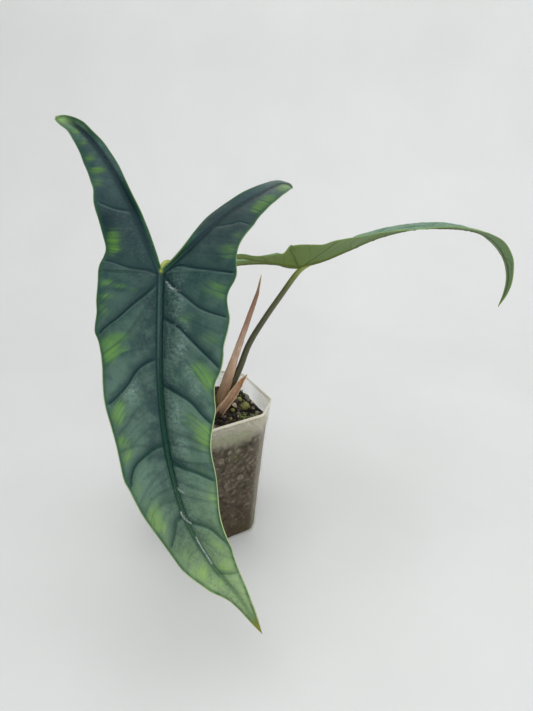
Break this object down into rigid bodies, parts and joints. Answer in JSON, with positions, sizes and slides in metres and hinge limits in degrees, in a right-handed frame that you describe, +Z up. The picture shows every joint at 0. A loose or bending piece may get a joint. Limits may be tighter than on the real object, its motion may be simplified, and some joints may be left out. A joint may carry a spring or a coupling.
{
  "type": "potted metallic blue alocasia",
  "caption": "Young potted alocasia with long metallic blue-green arrow-shaped leaves on arched stalks, rooted in chunky mix in a tapered translucent square nursery pot.",
  "frame": {"origin": "middle of the pot's underside, on the surface it stands on", "axes": "+Z up; the front leaf hangs towards -Y and the back leaf reaches towards +X"},
  "size_m": [0.32, 0.2413, 0.3294],
  "materials": {
    "pot_plastic": "satin",
    "potting_mix": "matte",
    "rootstock": "matte",
    "stalk": "satin",
    "leaf_front": "satin",
    "leaf_back": "satin",
    "papery_sheath": "matte"
  },
  "bodies": {
    "root": {"pot": "pot_plastic", "soil": "potting_mix", "stem_base": "rootstock", "petiole_front": "stalk", "blade_front": "leaf_front", "petiole_back": "stalk", "blade_back": "leaf_back", "sheath_tall": "papery_sheath", "sheath_short": "papery_sheath"}
  },
  "joints": []
}
